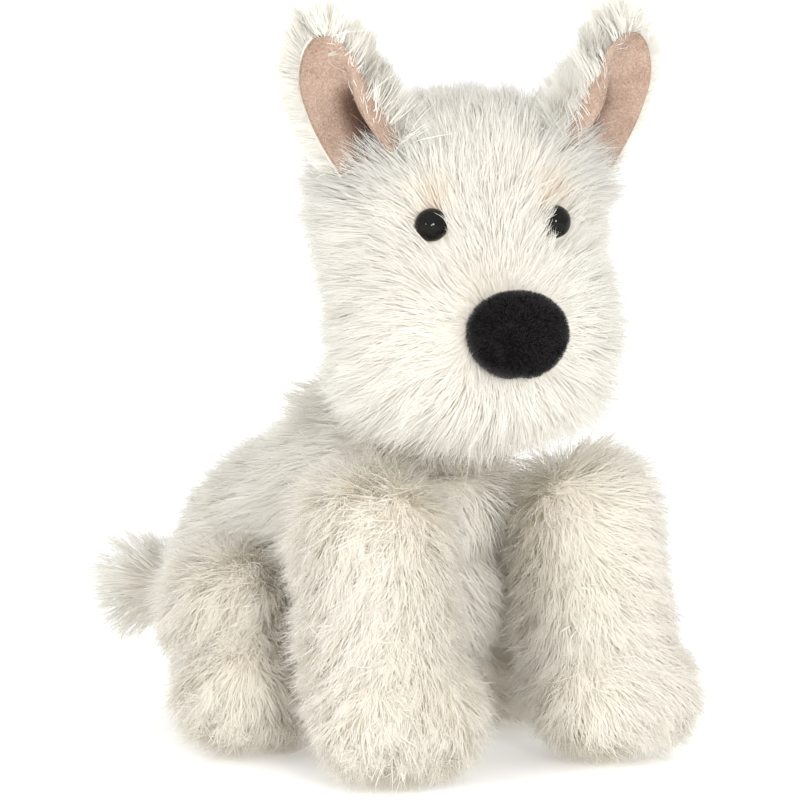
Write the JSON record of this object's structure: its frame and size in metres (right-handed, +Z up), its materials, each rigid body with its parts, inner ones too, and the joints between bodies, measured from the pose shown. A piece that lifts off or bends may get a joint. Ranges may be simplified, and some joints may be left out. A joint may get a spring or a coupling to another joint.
{
  "type": "plush toy dog",
  "caption": "Seated plush terrier with long cream fur, upright suede-lined ears, bead eyes, a big padded nose and a short bushy tail; limbs flex at their seams.",
  "frame": {"origin": "on the resting surface, under the middle of the whole toy", "axes": "+Z up, the dog faces -Y, its left side is +X"},
  "size_m": [0.166, 0.2578, 0.2504],
  "materials": {
    "fur_white": "long-pile off-white fur fabric, tufted",
    "fur_cream": "long-pile cream fur fabric, tufted, warmer at the roots",
    "fibre_fill": "loose polyester fibre filling",
    "suede_beige": "short-nap beige suede cloth",
    "nose_velvet": "black short-pile velvet",
    "eye_black": "polished black bead",
    "washer_plastic": "natural moulded plastic",
    "lining_cloth": "plain woven lining cloth",
    "pellets": "round plastic pellets"
  },
  "bodies": {
    "torso": {"torso_side_left": "fur_white", "torso_side_right": "fur_white", "belly_panel": "fur_cream", "seat_panel": "fur_cream", "torso_stuffing": "fibre_fill", "pellet_bag": "lining_cloth", "pellet_fill": "pellets"},
    "neck": {"neck_cover": "fur_cream", "neck_stuffing": "fibre_fill"},
    "head": {"head_side_left": "fur_white", "head_side_right": "fur_white", "head_gusset": "fur_white", "chin_panel": "fur_white", "head_stuffing": "fibre_fill", "nose_cover": "nose_velvet", "nose_padding": "fibre_fill", "eye_left": "eye_black", "eye_right": "eye_black", "eye_washer_left": "washer_plastic", "eye_washer_right": "washer_plastic"},
    "ear_left": {"ear_back_left": "fur_white", "ear_lining_left": "suede_beige"},
    "ear_right": {"ear_back_right": "fur_white", "ear_lining_right": "suede_beige"},
    "front_leg_left": {"front_leg_cover_left": "fur_cream", "front_leg_stuffing_left": "fibre_fill", "front_sole_left": "fur_cream"},
    "front_leg_right": {"front_leg_cover_right": "fur_cream", "front_leg_stuffing_right": "fibre_fill", "front_sole_right": "fur_cream"},
    "hind_leg_left": {"hind_leg_cover_left": "fur_cream", "hind_leg_stuffing_left": "fibre_fill", "hind_sole_left": "fur_cream"},
    "hind_leg_right": {"hind_leg_cover_right": "fur_cream", "hind_leg_stuffing_right": "fibre_fill", "hind_sole_right": "fur_cream"},
    "tail": {"tail_cover": "fur_white", "tail_stuffing": "fibre_fill"}
  },
  "joints": [
    {"name": "head_turn", "type": "hinge", "parent": "torso", "child": "neck", "pos_m": [0, -0.05, 0.12], "axis": [0, 0, 1], "range_deg": [-18, 36], "stiffness_Nm_per_rad": 0.15},
    {"name": "head_nod", "type": "hinge", "parent": "neck", "child": "head", "pos_m": [0, -0.05, 0.12], "axis": [0.9744, -0.225, 0], "range_deg": [-20, 4], "stiffness_Nm_per_rad": 1.5},
    {"name": "ear_left_fold", "type": "hinge", "parent": "head", "child": "ear_left", "pos_m": [0.03022, -0.08982, 0.209], "axis": [0.9034, 0.0048, -0.4288], "range_deg": [-12, 30], "stiffness_Nm_per_rad": 0.02},
    {"name": "ear_right_fold", "type": "hinge", "parent": "head", "child": "ear_right", "pos_m": [-0.04461, -0.07254, 0.209], "axis": [0.8099, -0.4003, 0.4288], "range_deg": [-12, 30], "stiffness_Nm_per_rad": 0.02},
    {"name": "front_leg_left_swing", "type": "hinge", "parent": "torso", "child": "front_leg_left", "pos_m": [0.043, -0.073, 0.08], "axis": [-1, 0, 0], "range_deg": [0, 45], "stiffness_Nm_per_rad": 0.15},
    {"name": "front_leg_right_swing", "type": "hinge", "parent": "torso", "child": "front_leg_right", "pos_m": [-0.043, -0.073, 0.08], "axis": [-1, 0, 0], "range_deg": [0, 45], "stiffness_Nm_per_rad": 0.15},
    {"name": "hind_leg_left_splay", "type": "hinge", "parent": "torso", "child": "hind_leg_left", "pos_m": [0.044, 0.005, 0.045], "axis": [0, 0, 1], "range_deg": [0, 40], "stiffness_Nm_per_rad": 0.15},
    {"name": "hind_leg_right_splay", "type": "hinge", "parent": "torso", "child": "hind_leg_right", "pos_m": [-0.044, 0.005, 0.045], "axis": [0, 0, -1], "range_deg": [0, 40], "stiffness_Nm_per_rad": 0.15},
    {"name": "tail_wag", "type": "hinge", "parent": "torso", "child": "tail", "pos_m": [0, 0.079, 0.043], "axis": [0, 0, 1], "range_deg": [-70, 6], "stiffness_Nm_per_rad": 0.05}
  ]
}
